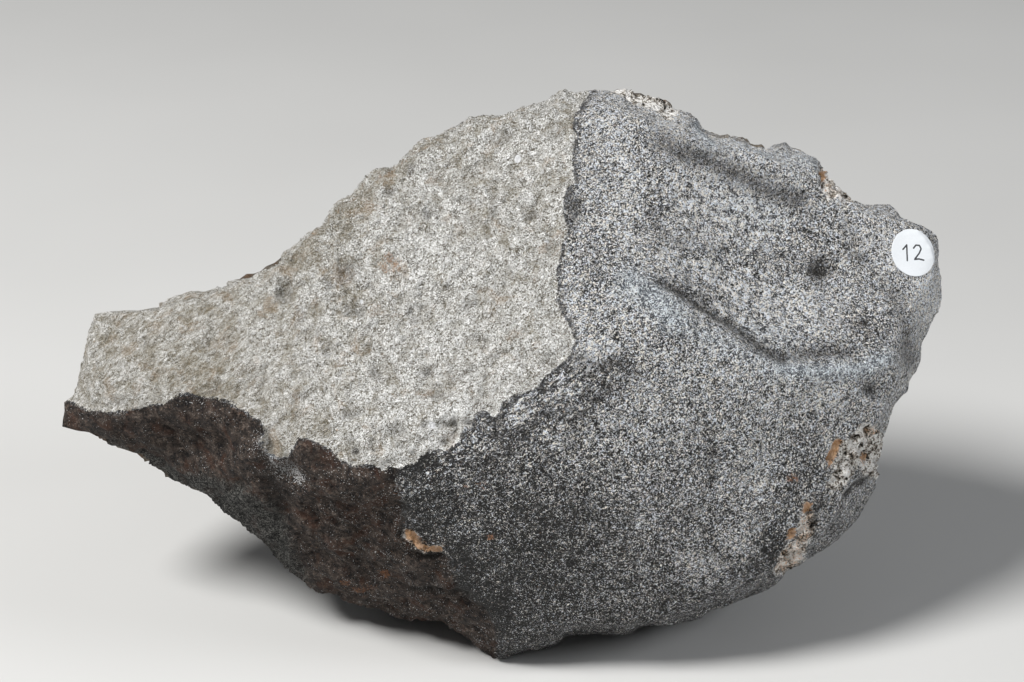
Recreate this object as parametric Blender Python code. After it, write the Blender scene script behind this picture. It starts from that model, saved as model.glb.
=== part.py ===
"""Chondrite meteorite: one broken stone, partly crusted, with a round paper collection dot.

The stone is shaped in its own face axes, in millimetres: u runs along it to the right, v runs up
the broken front face, and w comes out of that face towards the viewer. It is then leant back by
LEAN_DEG, so that it stands on its small flat spot, and moved so that the origin is under the
middle of its box.
"""

import math

import bmesh
import bpy
import numpy as np
from mathutils import Matrix, Vector, noise

# Driving dimensions, in millimetres unless the name says otherwise.
MM = 0.001
LENGTH = 146.0
LEAN_DEG = 25.0
EYE_DISTANCE = 403.0
EYE_AXIS = (1.33, 5.33)
GRID_CUTS = (36, 23, 17)
GRID_REACH = (73.0, 47.0, 34.0)
PAPER_DIAMETER = 8.0
PAPER_THICKNESS = 0.2
PAPER_GAP = 0.3
PAPER_SIDES = 40

# Middle of the stone, from which its outline is measured.
HEART = np.array([6.0, 0.0, -3.0])

# Outline of the front face as the eye sees it, in u and v, from the top of the left end clockwise.
OUTLINE = (
    (-67.7, 10.7), (-62.0, 10.7), (-54.0, 13.3), (-44.8, 15.7), (-38.7, 17.8), (-34.5, 21.7),
    (-29.8, 25.5), (-26.5, 29.3), (-22.3, 33.7), (-18.5, 34.3), (-13.2, 39.2), (-6.0, 42.7),
    (2.7, 44.3), (9.8, 47.3), (21.3, 47.2), (27.3, 45.3), (32.2, 42.3), (34.3, 39.7),
    (42.7, 38.2), (49.3, 37.5), (52.7, 35.2), (56.0, 30.7), (59.3, 28.3), (64.7, 28.0),
    (68.0, 25.2), (72.2, 22.5), (73.0, 12.2), (70.5, 6.3), (68.8, 0.5), (66.9, -3.2),
    (64.2, -7.0), (62.8, -14.2), (61.7, -19.5), (59.2, -24.0), (54.2, -29.0), (47.2, -33.0),
    (43.6, -36.6), (34.2, -39.7), (27.2, -42.2), (17.8, -43.7), (9.7, -44.2), (6.0, -46.2),
    (-2.0, -47.5), (-6.3, -44.2), (-10.3, -41.4), (-17.7, -41.0), (-26.5, -38.2),
    (-32.3, -35.8), (-37.3, -31.7), (-42.3, -26.7), (-48.7, -21.2), (-53.7, -18.5),
    (-59.0, -15.7), (-62.3, -13.0), (-67.7, -10.7), (-72.6, -9.4), (-73.2, -5.8), (-70.7, 0.5),
)
RIM_W = -4.0
RIM_ROUNDNESS = 50.0
RIM_ALLOWANCE = 0.5
RIM_SOFTNESS = 0.9
RIM_MOST = 0.98
# Away from the rim the outline's small steps fade out over this depth, into its mean over this arc.
RIM_FADE = 13.0
RIM_ARC_DEG = 20

# Faces of the crusted stone: a normal and a point on each.
CRUST_FACES = (
    ((0.0, 0.44, 1.0), (12.0, 5.5, 30.9)),
    ((-0.035, -0.023, 1.0), (12.0, 5.5, 31.5)),
    ((0.0, -0.40, 1.0), (12.0, -4.0, 31.6)),
    ((0.0, -0.80, 1.0), (12.0, -12.0, 31.6)),
    ((0.46, -0.32, 1.0), (47.2, 0.0, 21.0)),
    ((0.42, 0.33, 1.0), (24.3, 12.2, 28.4)),
)
CRUST_SOFTNESS = 2.6

# Faces where the stone broke in front: pale face, left end, and the brown face below them.
BREAK_FACES = (
    ((-0.33, 0.42, 1.0), (12.0, 5.5, 30.0)),
    ((-0.93, 0.245, 0.27), (-71.2, 8.0, 2.0)),
    ((-0.378, -0.723, 0.579), (-18.0, -15.7, 29.4)),
)
BREAK_SOFTNESS = 0.7

# Older, blunter faces of the back and the top.
BACK_FACES = (
    ((0.05, -0.06, -1.0), (0.0, 0.0, -37.5)),
    ((-0.42, 0.06, -0.90), (-65.0, 0.0, -12.5)),
    ((-0.10, 0.69, -0.73), (6.0, 41.0, -15.0)),
    ((0.34, 0.62, -0.70), (44.0, 33.0, -14.0)),
    ((0.66, -0.10, -0.75), (66.0, 8.0, -15.0)),
    ((-0.30, -0.60, -0.74), (-40.0, -26.5, -22.0)),
    ((0.30, -0.55, -0.78), (40.0, -34.0, -28.0)),
    ((0.0, 0.95, 0.30), (14.0, 49.4, -2.0)),
)
BACK_SOFTNESS = 1.8

# A bite out of the brown face under the left end: its long face and the short wall that ends it.
BITE_FACES = (
    ((-0.108, -0.806, 0.583), (-66.0, -6.0, 9.1)),
    ((-0.80, -0.10, 0.60), (-40.0, -8.0, 18.5)),
)
BITE_SOFTNESS = 1.2

# How flat the floors of the hollows are: 1 is a plain bell, more is flatter with steeper sides.
BUMP_BREADTH = 1.5

# Hollows: place in u, v, w, half widths along and across, turn in degrees, and depth.
HOLLOWS = (
    ((45.5, 18.5, 15.0), (17.5, 10.0), -24.0, 4.0),
    ((41.0, 27.0, 16.0), (8.5, 4.5), -28.0, 0.8),
    ((52.7, 17.2, 13.0), (2.6, 2.2), 0.0, 0.9),
    ((-36.0, 14.0, 15.0), (4.5, 4.5), 20.0, 1.3),
    ((-25.0, 14.5, 21.0), (3.6, 6.5), -12.0, 1.1),
    ((25.0, 8.0, -37.0), (20.0, 15.0), 25.0, 3.2),
    ((-16.0, -8.0, -34.0), (16.0, 12.0), -30.0, 2.6),
    ((24.0, 32.0, -24.0), (13.0, 9.0), 10.0, 2.0),
    ((52.0, -12.0, -25.0), (11.0, 13.0), 0.0, 1.8),
)
# Raised welts beside the hollows, given in the same way, with a height.
WELTS = (
    ((26.0, 12.0, 27.0), (7.0, 4.5), -30.0, 1.0),
    ((53.0, -0.5, 17.0), (13.0, 3.2), 2.0, 1.5),
    ((63.0, 17.0, 8.0), (4.0, 9.0), 20.0, 1.2),
)

# Flat spot that the stone rests on, as its distance below the face axes' origin once the stone is
# leant back. Skin that comes nearer to it than the snap joins it.
REST_DEPTH = 44.4
REST_SNAP = 0.12

# Where the paper dot sits, and how the stone's skin lies there.
PAPER_PLACE = (67.1, 19.8)
PAPER_SLOPE = (-0.30, -0.16)
PAPER_W = 6.7
# The flat seat goes this far past the paper's edge, and fades out over this width.
SEAT_MARGIN = 1.2
SEAT_FADE = 3.0
# Skin turned away from the paper keeps its shape: how far turned, as cosines, the seat starts and is full.
SEAT_TURN_FROM = 0.45
SEAT_TURN_FULL = 0.75

# Low lumps of the skin: how wide and high they are, and the share of them on the smoother crust.
LUMP_WIDTH = 11.0
LUMP_HEIGHT = 0.75
LUMP_ROUGHNESS = 0.9
LUMP_SPACING = 2.0
LUMP_OCTAVES = 3
CRUST_LUMPS = 0.35
CRUST_REACH = 1.0

# How closely the skin is brought to the faces, and how its facets are evened out.
SEARCH_STEPS = 36
SLOPE_STEPS = 4
SLOPE_STEP = 0.02
SLOPE_LEAST = 0.2
EVENING_ROUNDS = 10
EVENING_SHARE = 0.5
LAST_EVENING_SHARE = 0.25
# An edge of the starting block runs along an axis when this share of its length does.
ALONG_AXIS = 0.9

LEAN = math.radians(LEAN_DEG)
TURN = np.array(
    [
        [1.0, 0.0, 0.0],
        [0.0, math.sin(LEAN), -math.cos(LEAN)],
        [0.0, math.cos(LEAN), math.sin(LEAN)],
    ]
)


def clear_scene():
    for old in list(bpy.data.objects):
        bpy.data.objects.remove(old, do_unlink=True)


def new_collection(name):
    group = bpy.data.collections.new(name)
    bpy.context.scene.collection.children.link(group)
    return group


def plain_material(name, colour, roughness):
    material = bpy.data.materials.new(name)
    material.use_nodes = True
    shader = material.node_tree.nodes["Principled BSDF"]
    shader.inputs["Base Color"].default_value = (*colour, 1.0)
    shader.inputs["Roughness"].default_value = roughness
    shader.inputs["Metallic"].default_value = 0.0
    return material


def soft_maximum(values, softness):
    """The largest of several distances, rounded where two of them meet."""
    values = np.stack(values)
    top = values.max(axis=0)
    return top + softness * np.log(np.exp((values - top) / softness).sum(axis=0))


def face_distance(points, faces):
    """Distance of each point outside each flat face."""
    found = []
    for normal, place in faces:
        normal = np.array(normal)
        normal = normal / np.linalg.norm(normal)
        found.append((points - np.array(place)) @ normal)
    return found


def seen_from_eye(points):
    """Where the eye sees each point, on the plane w = 0."""
    nearer = EYE_DISTANCE / (EYE_DISTANCE - points[:, 2])
    u = EYE_AXIS[0] + (points[:, 0] - EYE_AXIS[0]) * nearer
    v = EYE_AXIS[1] + (points[:, 1] - EYE_AXIS[1]) * nearer
    return u, v


def outline_reach(angle):
    """How far the outline lies from the heart at each angle, straight between its points."""
    corners = np.array(OUTLINE) - HEART[:2]
    angles = np.arctan2(corners[:, 1], corners[:, 0])
    corners = corners[np.argsort(angles)]
    after = np.searchsorted(np.sort(angles), angle) % len(angles)
    start = corners[after - 1]
    edge = corners[after] - start
    crossing = start[:, 0] * edge[:, 1] - start[:, 1] * edge[:, 0]
    return crossing / (np.cos(angle) * edge[:, 1] - np.sin(angle) * edge[:, 0])


def outline_distance(points):
    """How far each point lies outside the stone's outline, whose sides curve in front and behind."""
    u, v = seen_from_eye(points)
    u = u - HEART[0]
    v = v - HEART[1]
    angle = np.arctan2(v, u)
    depth = points[:, 2] - RIM_W
    fade = np.clip(np.abs(depth) / RIM_FADE, 0.0, 1.0) ** 2
    away = outline_reach(angle) * (1.0 - fade) + np.interp(angle, *BROAD_OUTLINE) * fade
    side = np.clip(depth / RIM_ROUNDNESS, -RIM_MOST, RIM_MOST)
    return np.hypot(u, v) - away * np.sqrt(1.0 - side**2) - RIM_ALLOWANCE


def broad_outline():
    """The outline's mean over a wide arc, as angles and the reach at each."""
    angle = np.radians(np.arange(-180.0, 181.0))
    reach = outline_reach(angle)
    ring = np.concatenate([reach[-RIM_ARC_DEG - 1 : -1], reach, reach[1 : RIM_ARC_DEG + 1]])
    window = np.hanning(2 * RIM_ARC_DEG + 1)
    return angle, np.convolve(ring, window / window.sum(), mode="valid")


BROAD_OUTLINE = broad_outline()


def bump(points, place, half_widths, turn_deg, depth):
    """A smooth oval bump with a broad top, steepest at about its half widths from its place."""
    turn = math.radians(turn_deg)
    rel = points - np.array(place)
    along = rel[:, 0] * math.cos(turn) + rel[:, 1] * math.sin(turn)
    across = rel[:, 1] * math.cos(turn) - rel[:, 0] * math.sin(turn)
    deep = rel[:, 2] / max(half_widths)
    spread = (along / half_widths[0]) ** 2 + (across / half_widths[1]) ** 2 + deep**2
    return depth * np.exp(-(spread**BUMP_BREADTH))


def stone_distance(points):
    """Below zero inside the stone, above zero outside."""
    crust = soft_maximum(face_distance(points, CRUST_FACES), CRUST_SOFTNESS)
    crust = soft_maximum([crust, outline_distance(points)], RIM_SOFTNESS)
    bite = -soft_maximum([-far for far in face_distance(points, BITE_FACES)], BITE_SOFTNESS)
    whole = soft_maximum([crust, bite, *face_distance(points, BREAK_FACES)], BREAK_SOFTNESS)
    whole = soft_maximum([whole, *face_distance(points, BACK_FACES)], BACK_SOFTNESS)
    for hollow in HOLLOWS:
        whole = whole + bump(points, *hollow)
    for welt in WELTS:
        whole = whole - bump(points, *welt)
    return whole


def rest_distance(points):
    """How far each point lies below the flat spot."""
    return -(points @ TURN[2]) - REST_DEPTH


def body_distance(points):
    return np.maximum(stone_distance(points), rest_distance(points))


def on_surface(directions):
    """The point where each ray from the heart leaves the stone."""
    near = np.zeros(len(directions))
    far = np.full(len(directions), LENGTH)
    for _ in range(SEARCH_STEPS):
        middle = (near + far) / 2.0
        outside = body_distance(HEART + directions * middle[:, None]) > 0.0
        far = np.where(outside, middle, far)
        near = np.where(outside, near, middle)
    return HEART + directions * near[:, None]


def pulled_back(points):
    """Each point moved straight onto the surface by a few slope steps."""
    for _ in range(SLOPE_STEPS):
        here = body_distance(points)
        slope = np.empty_like(points)
        for axis in range(3):
            moved = points.copy()
            moved[:, axis] += SLOPE_STEP
            slope[:, axis] = (body_distance(moved) - here) / SLOPE_STEP
        size = (slope**2).sum(axis=1)
        points = points - slope * (here / np.maximum(size, SLOPE_LEAST))[:, None]
    return points


def block_of_quads():
    """A block whose six sides are cut into nearly square faces, with as many along each edge as asked."""
    mesh = bmesh.new()
    bmesh.ops.create_cube(mesh, size=2.0)
    bmesh.ops.scale(mesh, vec=GRID_REACH, verts=mesh.verts[:])
    for axis, cuts in enumerate(GRID_CUTS):
        along = []
        for edge in mesh.edges:
            run = edge.verts[1].co - edge.verts[0].co
            if abs(run[axis]) > ALONG_AXIS * run.length:
                along.append(edge)
        bmesh.ops.subdivide_edges(mesh, edges=along, cuts=cuts, use_grid_fill=True)
    mesh.verts.ensure_lookup_table()
    return mesh


def get_points(mesh):
    points = np.empty(len(mesh.verts) * 3)
    for index, vert in enumerate(mesh.verts):
        points[3 * index : 3 * index + 3] = vert.co
    return points.reshape(-1, 3)


def set_points(mesh, points):
    for vert, point in zip(mesh.verts, points):
        vert.co = point


def roughened(points, normals):
    """Low lumps of the broken faces; the crusted front is smoother than the breaks and the back."""
    moved = points.copy()
    crust = np.stack(face_distance(points, CRUST_FACES)).max(axis=0)
    height = np.where(np.abs(crust) < CRUST_REACH, CRUST_LUMPS, 1.0) * LUMP_HEIGHT
    for index, point in enumerate(points):
        lump = noise.fractal(Vector(point) / LUMP_WIDTH, LUMP_ROUGHNESS, LUMP_SPACING, LUMP_OCTAVES)
        moved[index] = point + normals[index] * lump * height[index]
    return moved


def paper_frame():
    """Middle of the paper dot's seat on the stone, and the direction that the paper faces."""
    facing = np.array([-PAPER_SLOPE[0], -PAPER_SLOPE[1], 1.0])
    facing = facing / np.linalg.norm(facing)
    return np.array([*PAPER_PLACE, PAPER_W]), facing


def flattened_for_paper(points, normals):
    """Stone under the paper dot brought to one plane, fading out around it and down its side."""
    middle, facing = paper_frame()
    rel = points - middle
    height = rel @ facing
    sideways = np.linalg.norm(rel - height[:, None] * facing, axis=1)
    outer = PAPER_DIAMETER / 2.0 + SEAT_MARGIN + SEAT_FADE
    fade = np.clip((outer - sideways) / SEAT_FADE, 0.0, 1.0)
    fade = fade * fade * (3.0 - 2.0 * fade)
    turned = (normals @ facing - SEAT_TURN_FROM) / (SEAT_TURN_FULL - SEAT_TURN_FROM)
    fade = fade * np.clip(turned, 0.0, 1.0)
    return points - facing * (height * fade)[:, None]


def rested(points):
    """Points on or under the flat spot brought exactly onto it, in the leant-back axes."""
    placed = points @ TURN.T
    floor = -REST_DEPTH
    placed[:, 2] = np.where(placed[:, 2] < floor + REST_SNAP, floor, placed[:, 2])
    return placed


def evened(mesh, points, share):
    """Points drawn a share of the way to the middle of their neighbours."""
    set_points(mesh, points)
    bmesh.ops.smooth_vert(
        mesh, verts=mesh.verts[:], factor=share, use_axis_x=True, use_axis_y=True, use_axis_z=True
    )
    return get_points(mesh)


def shape_stone():
    """The stone's mesh, leant back, in metres, and the place in millimetres that becomes its origin."""
    mesh = block_of_quads()
    block = get_points(mesh)
    points = on_surface(block / np.linalg.norm(block, axis=1)[:, None])
    for _ in range(EVENING_ROUNDS):
        points = pulled_back(evened(mesh, points, EVENING_SHARE))
    points = evened(mesh, points, LAST_EVENING_SHARE)
    mesh.normal_update()
    normals = np.array([vert.normal[:] for vert in mesh.verts])
    points = flattened_for_paper(roughened(points, normals), normals)
    placed = rested(points)
    low = placed.min(axis=0)
    high = placed.max(axis=0)
    foot = np.array([(low[0] + high[0]) / 2.0, (low[1] + high[1]) / 2.0, low[2]])
    set_points(mesh, (placed - foot) * MM)
    bmesh.ops.recalc_face_normals(mesh, faces=mesh.faces[:])
    return mesh, foot


def make_stone(group):
    mesh, foot = shape_stone()
    data = bpy.data.meshes.new("meteorite")
    mesh.to_mesh(data)
    mesh.free()
    data.shade_flat()
    stone = bpy.data.objects.new("meteorite", data)
    stone.data.materials.append(plain_material("stone", (0.22, 0.21, 0.20), 0.7))
    group.objects.link(stone)
    return foot


def make_paper(group, foot):
    """A thin round of paper that lies just clear of the stone on its flattened seat."""
    middle, facing = paper_frame()
    rise = PAPER_GAP + PAPER_THICKNESS / 2.0
    place = TURN @ (middle + facing * rise) - foot
    bpy.ops.mesh.primitive_cylinder_add(
        vertices=PAPER_SIDES,
        radius=PAPER_DIAMETER / 2.0 * MM,
        depth=PAPER_THICKNESS * MM,
        end_fill_type="TRIFAN",
    )
    paper = bpy.context.active_object
    paper.name = "paper_label"
    paper.data.name = "paper_label"
    turn = Vector((0.0, 0.0, 1.0)).rotation_difference(Vector(TURN @ facing))
    paper.matrix_world = Matrix.Translation(Vector(place) * MM) @ turn.to_matrix().to_4x4()
    paper.data.materials.append(plain_material("paper", (0.88, 0.89, 0.90), 0.6))
    for old in list(paper.users_collection):
        old.objects.unlink(paper)
    group.objects.link(paper)


def main():
    clear_scene()
    group = new_collection("chondrite_meteorite")
    foot = make_stone(group)
    make_paper(group, foot)
    print("stone foot in face axes", [round(float(x), 3) for x in foot])


main()
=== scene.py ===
"""Looks of the chondrite meteorite: its broken face, its crust, its weathered faces and the paper dot.

Lengths are in millimetres in the stone's own face axes, as in the solid: u to the right, v up the
broken face, w out of it towards the viewer. Places read off the photograph are pixels of its
1024 x 682 frame.
"""

import itertools
import math

import bmesh
import bpy
import numpy as np
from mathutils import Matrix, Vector
from mathutils.bvhtree import BVHTree


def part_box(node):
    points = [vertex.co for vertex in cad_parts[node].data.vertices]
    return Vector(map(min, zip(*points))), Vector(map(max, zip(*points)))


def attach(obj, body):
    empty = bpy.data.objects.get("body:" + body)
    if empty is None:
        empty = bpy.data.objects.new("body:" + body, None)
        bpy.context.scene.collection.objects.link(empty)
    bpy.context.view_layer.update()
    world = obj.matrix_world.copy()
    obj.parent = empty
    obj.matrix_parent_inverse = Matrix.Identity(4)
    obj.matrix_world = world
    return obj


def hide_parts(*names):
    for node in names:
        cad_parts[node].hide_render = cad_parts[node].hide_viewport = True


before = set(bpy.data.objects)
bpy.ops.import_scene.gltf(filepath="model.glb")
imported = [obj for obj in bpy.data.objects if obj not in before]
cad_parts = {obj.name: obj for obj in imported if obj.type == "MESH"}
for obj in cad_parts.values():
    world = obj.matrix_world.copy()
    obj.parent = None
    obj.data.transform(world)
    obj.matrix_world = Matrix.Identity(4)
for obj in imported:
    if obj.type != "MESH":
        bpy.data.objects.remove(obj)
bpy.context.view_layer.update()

MM = 0.001
LEAN = math.radians(25.0)
TURN = np.array(
    [
        [1.0, 0.0, 0.0],
        [0.0, math.sin(LEAN), -math.cos(LEAN)],
        [0.0, math.cos(LEAN), math.sin(LEAN)],
    ]
)

# The camera: where it stands in face axes, and the picture that it takes.
EYE = np.array([1.33, 5.33, 403.0])
LENS_MM = 85.0
SENSOR_MM = 36.0
PICTURE_WIDTH = 1024
PICTURE_HEIGHT = 682
FOCAL_PIXELS = PICTURE_WIDTH * LENS_MM / SENSOR_MM
PIXELS_PER_MM = FOCAL_PIXELS / EYE[2]

# The paper dot's seat on the stone, as in the solid.
PAPER_SEAT = np.array([67.1, 19.8, 6.7])
PAPER_RISE = 0.4
PAPER_RADIUS = 4.0
PAPER_FACING = np.array([0.30, 0.16, 1.0])
PAPER_FACING = PAPER_FACING / np.linalg.norm(PAPER_FACING)

# Edges of the pale broken face in the picture, from its top right corner down, and on to its left end.
CRUST_SIDE = (
    (590, 93), (582, 104), (576, 112), (572, 120), (576, 135), (573, 160), (574, 183), (565, 187),
    (563, 213), (569, 228), (562, 244), (557, 268), (556, 300), (562, 313), (571, 327), (575, 341),
    (567, 360), (545, 376), (538, 386), (521, 394), (512, 395), (500, 407), (496, 418), (486, 412),
    (474, 414), (472, 427), (463, 428), (459, 441), (446, 450), (430, 450), (421, 456), (416, 462),
    (396, 468),
)
BROWN_SIDE = (
    (396, 468), (377, 468), (364, 464), (351, 466), (339, 459), (330, 450), (320, 444), (308, 439),
    (298, 437), (294, 449), (284, 459), (270, 455), (262, 448), (258, 440), (263, 430), (261, 421),
    (250, 415), (235, 405), (222, 399), (200, 397), (190, 393), (180, 394), (165, 402), (150, 406),
    (125, 411), (90, 411), (79, 405), (70, 397), (56, 392),
)
# Points beyond the stone, which close the areas of the faces.
BEYOND_TOP = ((30, 300), (60, 200), (300, 40), (600, 40))
BEYOND_LEFT = ((20, 390), (20, 700))
# Border between the brown face and the dark crust, and the grey skin along the stone's lower left rim.
BROWN_END = (
    (396, 468), (400, 500), (403, 528), (425, 546), (447, 556), (454, 575), (456, 592), (480, 603),
    (496, 630), (500, 700),
)
GREY_SKIN = (
    (95, 436), (142, 452), (180, 468), (220, 479), (250, 488), (267, 501), (281, 513), (290, 545),
    (312, 600), (200, 610), (50, 480),
)
PALE_FACE = (*CRUST_SIDE, *BROWN_SIDE[1:], *BEYOND_TOP)
BROWN_FACE = (*BROWN_SIDE, *BEYOND_LEFT, *reversed(BROWN_END[1:]))
# The stone's outline in the picture, from its left end round by the top.
OUTLINE = (
    (95, 313), (98, 309), (109, 308), (120, 310), (124, 315), (130, 314), (145, 311), (160, 302),
    (180, 293), (190, 291), (200, 290), (208, 290), (218, 286), (235, 279), (255, 276), (264, 269),
    (272, 266), (280, 260), (281, 253), (287, 250), (297, 243), (305, 234), (314, 229), (322, 225),
    (325, 219), (330, 209), (338, 200), (348, 196), (355, 189), (362, 180), (370, 171), (378, 168),
    (385, 167), (393, 167), (402, 158), (410, 150), (420, 140), (427, 137), (436, 136), (445, 131),
    (460, 124), (468, 117), (485, 115), (500, 115), (512, 112), (520, 107), (534, 104), (548, 100),
    (553, 95), (563, 89), (572, 92), (580, 92), (590, 90), (600, 90), (612, 91), (622, 88),
    (632, 90), (638, 95), (650, 96), (660, 98), (668, 101), (673, 107), (680, 110), (690, 113),
    (697, 119), (701, 127), (707, 131), (715, 134), (730, 135), (745, 138), (753, 144), (760, 145),
    (775, 147), (776, 144), (780, 141), (785, 141), (790, 147), (800, 149), (808, 155), (815, 157),
    (820, 162), (822, 167), (828, 172), (833, 181), (840, 189), (853, 199), (860, 203), (875, 205),
    (885, 203), (892, 205), (903, 218), (912, 222), (922, 225), (932, 231), (938, 238), (939, 250),
    (938, 262), (941, 280), (942, 300), (940, 304), (938, 312), (932, 320), (929, 330), (926, 335),
    (921, 345), (921, 358), (917, 370), (909, 381), (908, 391), (900, 399), (895, 405), (892, 411),
    (889, 423), (885, 432), (883, 441), (881, 458), (876, 461), (879, 464), (878, 475), (876, 487),
    (869, 498), (864, 508), (859, 517), (845, 533), (829, 547), (820, 552), (808, 559), (800, 565),
    (787, 571), (780, 581), (768, 590), (755, 595), (744, 599), (725, 607), (709, 611), (701, 618),
    (685, 622), (667, 626), (655, 625), (640, 627), (631, 633), (620, 635), (611, 635), (595, 634),
    (580, 635), (565, 636), (560, 642), (550, 647), (540, 650), (530, 650), (520, 653), (505, 658),
    (492, 658), (487, 653), (480, 650), (472, 642), (466, 636), (460, 634), (450, 628), (442, 621),
    (430, 621), (420, 620), (410, 621), (398, 619), (385, 612), (378, 609), (365, 608), (355, 604),
    (345, 602), (335, 594), (318, 593), (310, 588), (300, 579), (290, 572), (280, 563), (270, 550),
    (262, 540), (250, 533), (242, 524), (232, 518), (222, 511), (212, 500), (203, 492), (192, 490),
    (182, 484), (172, 481), (160, 470), (150, 467), (143, 460), (133, 451), (122, 449), (110, 446),
    (98, 437), (90, 433), (80, 431), (66, 430), (64, 420), (66, 400), (73, 396), (77, 385),
    (80, 370), (84, 350), (88, 333), (93, 319),
)
OUTLINE_MIDDLE = (540, 373)
OUTLINE_STEPS = 720


def to_face(points):
    """World metres to face axes in millimetres."""
    return (points / MM + foot) @ TURN


def to_world(points):
    """Face axes in millimetres to world metres."""
    return (points @ TURN.T - foot) * MM


def in_picture(points):
    """Where the camera sees points given in face axes."""
    nearer = FOCAL_PIXELS / (EYE[2] - points[:, 2])
    x = PICTURE_WIDTH / 2.0 + (points[:, 0] - EYE[0]) * nearer
    y = PICTURE_HEIGHT / 2.0 - (points[:, 1] - EYE[1]) * nearer
    return np.stack([x, y], axis=1)


def add_object(name, data):
    made = bpy.data.objects.new(name, data)
    bpy.context.scene.collection.objects.link(made)
    return made


def finished(mesh, name):
    data = bpy.data.meshes.new(name)
    mesh.to_mesh(data)
    mesh.free()
    return data


def find_foot():
    """The solid's origin, from the paper dot's place in both sets of axes."""
    low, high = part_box("paper_label")
    middle = np.array((low + high) / 2.0) / MM
    return TURN @ (PAPER_SEAT + PAPER_FACING * PAPER_RISE) - middle


foot = find_foot()


def smooth(values, low, high):
    """0 at low, 1 at high, with soft ends."""
    part = np.clip((values - low) / (high - low), 0.0, 1.0)
    return part * part * (3.0 - 2.0 * part)


def flat_distance(spots, line):
    """Distance from flat spots to a line of them, in their own unit."""
    nearest = np.full(len(spots), np.inf)
    for start, end in zip(line[:-1], line[1:]):
        start = np.array(start, float)
        run = np.array(end, float) - start
        part = np.clip(((spots - start) @ run) / (run @ run), 0.0, 1.0)
        nearest = np.minimum(nearest, np.linalg.norm(spots - start - part[:, None] * run, axis=1))
    return nearest


def line_distance(points, line):
    """Distance in millimetres from picture points to a line of picture points."""
    return flat_distance(points, line) / PIXELS_PER_MM


def area_distance(points, corners):
    """Distance in millimetres to the border of an area of the picture, above zero inside it."""
    inside = np.zeros(len(points), bool)
    closed = (*corners, corners[0])
    for (x0, y0), (x1, y1) in zip(closed[:-1], closed[1:]):
        crosses = (y0 > points[:, 1]) != (y1 > points[:, 1])
        if y0 != y1:
            at = x0 + (points[:, 1] - y0) * (x1 - x0) / (y1 - y0)
            inside ^= crosses & (points[:, 0] < at)
    return np.where(inside, 1.0, -1.0) * line_distance(points, closed)


def turned(points, angle):
    """The first two coordinates of points, along a heading and across it."""
    along = points[:, 0] * math.cos(angle) + points[:, 1] * math.sin(angle)
    across = points[:, 1] * math.cos(angle) - points[:, 0] * math.sin(angle)
    return along, across


def oval(points, x, y, half_width, half_height, turn_deg=0.0):
    """1 in the middle of an oval of the picture, 0 at its edge, below zero outside."""
    along, across = turned(points - np.array([x, y], float), math.radians(turn_deg))
    return 1.0 - np.sqrt((along / half_width) ** 2 + (across / half_height) ** 2)


# Random slopes at the corners of a grid of unit cubes, for the stone's unevenness.
SLOPE_COUNT = 512
CHANCE = np.random.default_rng(12)
SHUFFLE = np.tile(CHANCE.permutation(SLOPE_COUNT), 2)
SLOPES = CHANCE.normal(size=(SLOPE_COUNT, 3))
SLOPES = SLOPES / np.linalg.norm(SLOPES, axis=1)[:, None]
CORNERS = list(itertools.product((0, 1), repeat=3))
NEIGHBOURS = list(itertools.product((-1, 0, 1), repeat=3))

# Each octave of a pattern is finer and weaker than the last, and moved along.
OCTAVE_STEP = 2.1
SWELL_GAIN = 1.6
LUMP_SHARE = 0.55
LUMP_SHIFT = 7.3
RIDGE_SHARE = 0.5
RIDGE_SHIFT = 5.1
RIDGE_CATCH = 1.3
RIDGE_SUM = 1.6
RIDGE_MIDDLE = 0.6
CHUNK_STRAY = 0.45
CHUNK_STEP = 0.6


def slope_number(cells):
    """The number of the random slope that each cell of the grid has."""
    x, y, z = (cells % SLOPE_COUNT).T
    return SHUFFLE[SHUFFLE[SHUFFLE[x] + y] + z]


def swell(places):
    """A smooth random wave through space, one unit long, from about -1 to 1."""
    cell = np.floor(places).astype(int)
    part = places - cell
    ease = part * part * part * (part * (part * 6.0 - 15.0) + 10.0)
    total = np.zeros(len(places))
    for corner in CORNERS:
        slope = SLOPES[slope_number(cell + corner)]
        share = np.prod(np.where(corner, ease, 1.0 - ease), axis=1)
        total += share * (slope * (part - corner)).sum(axis=1)
    return total * SWELL_GAIN


def lumps(points, size, octaves, shift=0.0):
    """Smooth random lumps of about one size in millimetres, from -1 to 1."""
    total = np.zeros(len(points))
    for octave in range(octaves):
        places = points * OCTAVE_STEP**octave / size + shift + LUMP_SHIFT * octave
        total += swell(places) * LUMP_SHARE**octave
    return total


def ridges(points, size, octaves, shift=0.0):
    """Sharp crests with rounded hollows between them, from 0 to about 1, less their middle height."""
    total = np.zeros(len(points))
    share = 1.0
    weight = np.ones(len(points))
    for octave in range(octaves):
        places = points * OCTAVE_STEP**octave / size + shift + RIDGE_SHIFT * octave
        crest = (1.0 - np.abs(swell(places))) ** 2
        total += crest * weight * share
        weight = np.clip(crest * RIDGE_CATCH, 0.0, 1.0)
        share *= RIDGE_SHARE
    return total / RIDGE_SUM - RIDGE_MIDDLE


def chunks(points, size, tilt, shift=0.0):
    """Flat facets of about one size in millimetres, each leaning and standing its own way."""
    places = points / size + shift
    cell = np.floor(places).astype(int)
    nearest = np.full(len(points), np.inf)
    total = np.zeros(len(points))
    for neighbour in NEIGHBOURS:
        key = slope_number(cell + neighbour)
        rel = places - (cell + neighbour + 0.5 + SLOPES[key] * CHUNK_STRAY)
        far = (rel * rel).sum(axis=1)
        lean = (rel * SLOPES[SHUFFLE[key]]).sum(axis=1) * tilt + SLOPES[SHUFFLE[key], 0] * CHUNK_STEP
        total = np.where(far < nearest, lean, total)
        nearest = np.minimum(nearest, far)
    return total


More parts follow.
